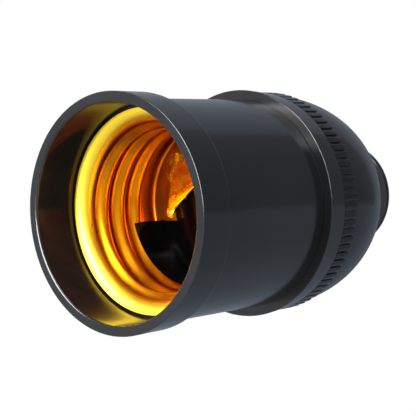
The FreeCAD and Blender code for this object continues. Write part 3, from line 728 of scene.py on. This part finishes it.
class OBJECT_OT_holder_cap(bpy.types.Operator):
    """Domed cap with its smooth band, grip ribs and threaded neck"""

    bl_idname = "object.holder_cap"
    bl_label = "Cap"

    def execute(self, context):
        s = sizes()
        front_z, front_r = cap_high.z, cap_high.x
        band_z = front_z - s.band
        rib_z = band_z - s.rib
        small, bore_step, foot_step, thread_step = FINE_EDGE, 2 * MM, 1 * MM, 0.09 * MM
        rib_foot, relief, recess, inner_floor = 0.2 * MM, 0.6 * MM, 0.5 * MM, 1 * MM
        end_round, end_inset, fading = 0.3 * MM, 0.5 * MM, 0.5 * MM
        dome_z = rib_z - rib_foot
        plain_r, foot_r = s.neck_r - 0.3 * MM, s.neck_r - s.neck_depth
        neck_top = dome_z - s.dome_height * math.sqrt(1 - (plain_r / s.dome_r) ** 2)
        thread_top, thread_end = neck_top - relief, 0.5 * MM
        ledge_z = block_low.z - s.play
        inner_r, inner_height = s.dome_r - s.cap_wall, s.dome_height - s.cap_wall
        entry_r, floor_z = entry_high.x, entry_high.z + inner_floor
        floor_r = inner_r * math.sqrt(1 - ((dome_z - floor_z) / inner_height) ** 2)
        outline = [(s.cap_bore_r, ledge_z)]
        outline += line((s.cap_bore_r, ledge_z), (s.cap_bore_r, front_z - small), bore_step)
        outline += arc((s.cap_bore_r + small, front_z - small), small, 180, 90, steps=2)
        outline += arc((front_r - s.crisp, front_z - s.crisp), s.crisp, 90, 0)
        outline += [(s.band_rear_r, band_z + small)]
        outline += arc((s.band_rear_r - small, band_z + small), small, 0, -90, steps=3)
        outline += line((s.rib_base_r, band_z), (s.dome_r, dome_z), foot_step)
        outline += self.quarter(s.dome_r, s.dome_height, dome_z, s.dome_r, plain_r, steps=48)
        outline += [(plain_r, thread_top)]
        outline += line((foot_r, thread_top), (foot_r, thread_end), thread_step)
        outline += arc((s.neck_r - end_inset, end_round), end_round, 0, -90, steps=4)
        outline += [(entry_r + recess, 0), (entry_r + recess, entry_low.z), (entry_r, entry_low.z)]
        outline += [(entry_r, floor_z), (floor_r, floor_z)]
        outline += self.quarter(inner_r, inner_height, dome_z, floor_r, s.seat_r, steps=20)
        outline += [(s.seat_r, ledge_z)]
        cap = spin_outline("ribbed_cap", outline)

        def neck_thread(r, turn, z):
            if z > thread_top - small or z < thread_end or r < plain_r - end_round or r > s.neck_r:
                return r
            crest = thread_wave(turn, z, 0, s.neck_pitch)
            fade = ramp(thread_end, thread_end + fading, z)
            fade *= 1 - ramp(thread_top - fading, thread_top - small, z)
            return s.neck_r - s.neck_depth * (1 - crest * fade)

        reshape(cap, neck_thread)
        cap.data.materials.append(bpy.data.materials["moulded_black"])
        ribs = self.ribs(band_z, rib_z)
        deselect()
        ribs.select_set(True)
        cap.select_set(True)
        context.view_layer.objects.active = cap
        bpy.ops.object.join()
        smooth(cap, 40)
        finish_piece(cap, "moulded_black", "cap", "black_moulding", "rear_cap")
        return {"FINISHED"}

    def quarter(self, radius, height, centre_z, start_r, end_r, steps):
        """Points of the dome's ellipse between two radii, evenly turned."""
        first = math.acos(min(1, start_r / radius))
        last = math.acos(min(1, end_r / radius))
        turns = [first + (last - first) * i / steps for i in range(steps + 1)]
        return [(radius * math.cos(a), centre_z - height * math.sin(a)) for a in turns]

    def ribs(self, band_z, rib_z):
        """One rounded rib with a duller, less glossy top, copied round the cap."""
        s = sizes()
        sunk, overlap, near, rear_round, straight_out = 0.3 * MM, 0.02 * MM, 0.05 * MM, 0.9, 0.99
        half = s.rib_fill * math.pi * s.band_rear_r / s.rib_count
        inner_x = s.dome_r - sunk
        height = s.band_rear_r - inner_x
        middle = ((inner_x + s.band_rear_r) / 2, 0, (band_z + rib_z) / 2)
        deselect()
        bpy.ops.mesh.primitive_cube_add(size=1, location=middle)
        rib = context_object_named("ribs")
        bpy.ops.transform.resize(value=(height, 2 * half, band_z - rib_z + overlap))
        bpy.ops.object.transform_apply()

        def rear_corner(a, b):
            return min(a.z, b.z) < rib_z + MM and abs(a.x - b.x) > height / 2

        def top_edge(a, b):
            return min(a.x, b.x) > s.band_rear_r - near and min(a.z, b.z) < band_z

        self.round_edges(rib, rear_corner, rear_round * half, segments=5)
        self.round_edges(rib, top_edge, s.rib_edge, segments=3)
        for name in ("moulded_black", "dull_top_black"):
            rib.data.materials.append(bpy.data.materials[name])
        for face in rib.data.polygons:
            face.material_index = 1 if face.normal.x > straight_out else 0
        bpy.ops.object.mode_set(mode="EDIT")
        bpy.ops.mesh.select_all(action="SELECT")
        bpy.ops.mesh.spin(steps=s.rib_count, dupli=True, angle=2 * math.pi, center=(0, 0, 0), axis=(0, 0, 1))
        bpy.ops.mesh.select_all(action="SELECT")
        bpy.ops.mesh.remove_doubles(threshold=SAME_PLACE)
        bpy.ops.object.mode_set(mode="OBJECT")
        return rib

    def round_edges(self, rib, wanted, width, segments):
        """Bevel the edges whose two ends pass the test."""
        bpy.ops.object.mode_set(mode="EDIT")
        bpy.ops.mesh.select_mode(type="EDGE")
        bpy.ops.mesh.select_all(action="DESELECT")
        bpy.ops.object.mode_set(mode="OBJECT")
        corners = rib.data.vertices
        for edge in rib.data.edges:
            a, b = (corners[i].co for i in edge.vertices)
            edge.select = wanted(a, b)
        bpy.ops.object.mode_set(mode="EDIT")
        bpy.ops.mesh.bevel(offset=width, offset_type="OFFSET", segments=segments, profile=0.5)
        bpy.ops.object.mode_set(mode="OBJECT")


class OBJECT_OT_holder_entry(bpy.types.Operator):
    """Metal bush in the neck with its inside thread"""

    bl_idname = "object.holder_entry"
    bl_label = "Neck entry"

    def execute(self, context):
        s = sizes()
        low, high, outer_r = entry_low.z, entry_high.z, entry_high.x
        root_r = s.entry_crest_r + s.entry_depth
        chamfer, thread_step, fading = 0.1 * MM, 0.1 * MM, 0.6 * MM
        outline = [(outer_r, low), (outer_r, high), (root_r + chamfer, high)]
        outline += line((root_r, high - chamfer), (root_r, low + chamfer), thread_step)
        outline += [(root_r + chamfer, low)]
        entry = spin_outline("entry_bush", outline)

        def inside_thread(r, turn, z):
            if r > root_r + chamfer / 2:
                return r
            fade = ramp(low, low + fading, z) * (1 - ramp(high - fading, high, z))
            return root_r - s.entry_depth * (1 - thread_wave(turn, z, low, s.entry_pitch)) * fade

        reshape(entry, inside_thread)
        smooth(entry, 40)
        finish_piece(entry, "plated_steel", "cap", "entry_steel", "neck_entry")
        return {"FINISHED"}


class OBJECT_OT_holder_leaf(bpy.types.Operator):
    """Sprung leaf of the centre contact: round shoulders, straight flanks, slightly arched"""

    bl_idname = "object.holder_leaf"
    bl_label = "Contact leaf"

    def execute(self, context):
        s = sizes()
        root_x, end_x = leaf_high.x - s.leaf_sheet / 2, leaf_low.x
        tip_x = end_x + s.leaf_tip
        bend_z = leaf_low.z + s.leaf_sheet / 2
        slope = (leaf_high.z - bend_z) / (root_x - tip_x)
        slope -= s.leaf_sheet / 2 * math.hypot(1, slope) / (root_x - tip_x)
        tip_fall, bow_start, bow_end = 0.1, 0.6 * MM, 2.4 * MM
        deselect()
        bpy.ops.mesh.primitive_grid_add(x_subdivisions=60, y_subdivisions=18, size=2, location=(0, 0, 0))
        leaf = context_object_named("contact_leaf")
        bpy.ops.object.transform_apply()
        for vertex in leaf.data.vertices:
            x = root_x + (end_x - root_x) * (vertex.co.x + 1) / 2
            across = vertex.co.y
            half = self.half_width(x, end_x)
            rise = bend_z + slope * (root_x - max(x, tip_x)) - tip_fall * max(0, tip_x - x)
            bow = s.leaf_bow * across * across * ramp(bow_start, bow_end, root_x - x)
            vertex.co = (x, across * half, rise - bow)
        apply_modifier(leaf, "SOLIDIFY", thickness=s.leaf_sheet, offset=0.0, use_even_offset=True)
        apply_modifier(leaf, "BEVEL", width=s.leaf_edge, segments=4, limit_method="ANGLE",
                       angle_limit=math.radians(50))
        smooth(leaf, 40)
        finish_piece(leaf, "spring_brass", "tongue", "contact_brass", "contact_tongue")
        return {"FINISHED"}

    def half_width(self, x, end_x):
        """Half the leaf's width: full round shoulders, straight flanks and a round end."""
        s = sizes()
        widest, shoulder, nose, blunt = s.leaf_widest, s.leaf_shoulder, end_x + s.leaf_nose, 0.01
        wide_half, shoulder_half, nose_half = leaf_high.y, s.leaf_shoulder_half, s.leaf_nose
        if x > shoulder:
            fall = wide_half - (shoulder_half if x < widest else s.leaf_root_half)
            reach = widest - shoulder if x < widest else leaf_high.x - widest
            return wide_half - fall * ((x - widest) / reach) ** 2
        if x > nose:
            return nose_half + (shoulder_half - nose_half) * (x - nose) / (shoulder - nose)
        return nose_half * math.sqrt(max(blunt, 1 - ((nose - x) / (nose - end_x)) ** 2))


class OBJECT_OT_holder_inner(bpy.types.Operator):
    """Finishes of the frame's own pieces behind the shell"""

    bl_idname = "object.holder_inner"
    bl_label = "Block, terminals and screws"

    def execute(self, context):
        dress_node("contact_block", "core_black")
        for name in ("contact_bracket", "contact_rivet", "shell_screws"):
            dress_node(name, "spring_brass")
        for name in ("live_terminal", "neutral_terminal"):
            dress_node(name, "strip_brass")
        for name in ("shell_nut", "terminal_screws", "terminal_washers"):
            dress_node(name, "plated_steel")
        return {"FINISHED"}


def lamp(name, place, aim, size, power):
    """A soft white light that faces a point."""
    data = bpy.data.lights.new(name, "AREA")
    data.shape = "RECTANGLE"
    data.size, data.size_y = size
    data.energy = power
    light = bpy.data.objects.new(name, data)
    bpy.context.scene.collection.objects.link(light)
    light.location = place
    light.rotation_euler = (Vector(aim) - Vector(place)).to_track_quat("-Z", "Y").to_euler()
    return light


def floor_paper():
    """Pale paper that the camera and the reflections see as white."""
    c = colours()
    finish = Finish("floor_paper", c.floor, roughness=0.7)
    tree = finish.tree
    fibre = finish.noise(60, 5)
    finish.set_colour(finish.mix(finish.between(fibre, 0.3, 0.7), c.floor, c.fibre))
    glow = tree.nodes.new("ShaderNodeEmission")
    glow.inputs["Strength"].default_value = 1.0
    path = tree.nodes.new("ShaderNodeLightPath")
    seen = tree.nodes.new("ShaderNodeMath")
    seen.operation = "MAXIMUM"
    tree.links.new(path.outputs["Is Camera Ray"], seen.inputs[0])
    tree.links.new(path.outputs["Is Glossy Ray"], seen.inputs[1])
    both = tree.nodes.new("ShaderNodeMixShader")
    tree.links.new(seen.outputs["Value"], both.inputs["Fac"])
    tree.links.new(finish.surface.outputs["BSDF"], both.inputs[1])
    tree.links.new(glow.outputs["Emission"], both.inputs[2])
    tree.links.new(both.outputs["Shader"], tree.nodes["Material Output"].inputs["Surface"])
    return finish.material


class OBJECT_OT_holder_stage(bpy.types.Operator):
    """Pale floor, soft lights and the camera"""

    bl_idname = "object.holder_stage"
    bl_label = "Stage"

    def execute(self, context):
        deselect()
        bpy.ops.mesh.primitive_plane_add(size=3, location=(0, 0, 0))
        floor = context_object_named("floor")
        floor.data.materials.append(floor_paper())
        c = colours()
        self.card("blue_card", (-0.35, -0.35), (0.35, 0.35), 0.0004, c.blue_card)
        self.card("grey_card", (-0.002, -0.20), (0.16, -0.017), 0.0006, c.grey_card)
        aim = Vector((0, 0, skirt_high.z * 0.85))
        before_mouth = lamp("before_mouth", (0.075, 0.01, 0.265), aim, size=(0.20, 0.16), power=2.6)
        before_mouth.visible_diffuse = False
        lamp("fill_side", (0.30, -0.10, 0.14), aim, size=(0.20, 0.20), power=0.5)
        world = bpy.data.worlds.new("studio")
        context.scene.world = world
        world.use_nodes = True
        sky = world.node_tree.nodes["Background"]
        sky.inputs["Color"].default_value = (*c.daylight, 1)
        sky.inputs["Strength"].default_value = 0.95
        self.camera(context)
        context.scene.view_settings.view_transform = "Standard"
        return {"FINISHED"}

    def card(self, name, low, high, z, colour):
        """A sheet of card on the floor that only shows in reflections."""
        deselect()
        middle = ((low[0] + high[0]) / 2, (low[1] + high[1]) / 2, z)
        bpy.ops.mesh.primitive_plane_add(size=1, location=middle)
        card = context_object_named(name)
        bpy.ops.transform.resize(value=(high[0] - low[0], high[1] - low[1], 1))
        bpy.ops.object.transform_apply()
        card.visible_camera = False
        paper = Finish(name, colour, roughness=0.9)
        darker, lighter = ([share * value for value in colour] for share in (0.94, 1.06))
        paper.set_colour(paper.mix(paper.noise(80, 4), darker, lighter))
        card.data.materials.append(paper.material)

    def camera(self, context):
        """The photograph's view: from the mouth's side, with the holder lying along the picture."""
        image, focal, sensor = 416, 1250, 36.0
        data = bpy.data.cameras.new("camera")
        data.sensor_width = sensor
        data.lens = sensor * focal / image
        data.clip_start = 0.01
        camera = bpy.data.objects.new("camera", data)
        context.scene.collection.objects.link(camera)
        # fitted to the circles of the rim, the lip, the cap's edge and the neck
        place = Vector((0.007887, -0.12684, 0.18337))
        back = Vector((0.04224, -0.65629, 0.75333)).normalized()
        up = Vector((0.99843, 0.0, -0.05599))
        right = up.cross(back).normalized()
        up = back.cross(right)
        turn = Matrix((right, up, back)).transposed()
        camera.matrix_world = Matrix.Translation(place) @ turn.to_4x4()
        context.scene.camera = camera


class OBJECT_OT_holder_finishes(bpy.types.Operator):
    """The procedural finishes that the pieces share"""

    bl_idname = "object.holder_finishes"
    bl_label = "Finishes"

    def execute(self, context):
        for make in (moulded_black, core_black, rolled_brass, spring_brass, strip_brass, plated_steel):
            make()
        moulded_black("dull_top_black", gloss=0.22)
        return {"FINISHED"}


STEPS = (
    OBJECT_OT_holder_stage,
    OBJECT_OT_holder_finishes,
    OBJECT_OT_holder_skirt,
    OBJECT_OT_holder_shell,
    OBJECT_OT_holder_cap,
    OBJECT_OT_holder_entry,
    OBJECT_OT_holder_leaf,
    OBJECT_OT_holder_inner,
)


class VIEW3D_PT_holder(bpy.types.Panel):
    """The steps of the lamp holder, in order"""

    bl_idname = "VIEW3D_PT_holder"
    bl_label = "Lamp Holder"
    bl_space_type = "VIEW_3D"
    bl_region_type = "UI"
    bl_category = "Lamp Holder"

    def draw(self, context):
        for step in STEPS:
            self.layout.operator(step.bl_idname, text=step.bl_label)


def register():
    for item in (HolderSizes, HolderColours, *STEPS, VIEW3D_PT_holder):
        bpy.utils.register_class(item)
    bpy.types.Scene.holder_sizes = bpy.props.PointerProperty(type=HolderSizes)
    bpy.types.Scene.holder_colours = bpy.props.PointerProperty(type=HolderColours)


def unregister():
    del bpy.types.Scene.holder_colours
    del bpy.types.Scene.holder_sizes
    for item in (VIEW3D_PT_holder, *reversed(STEPS), HolderColours, HolderSizes):
        bpy.utils.unregister_class(item)


def main():
    register()
    bpy.ops.object.holder_stage()
    bpy.ops.object.holder_finishes()
    bpy.ops.object.holder_skirt()
    bpy.ops.object.holder_shell()
    bpy.ops.object.holder_cap()
    bpy.ops.object.holder_entry()
    bpy.ops.object.holder_leaf()
    bpy.ops.object.holder_inner()


if __name__ == "__main__":
    main()
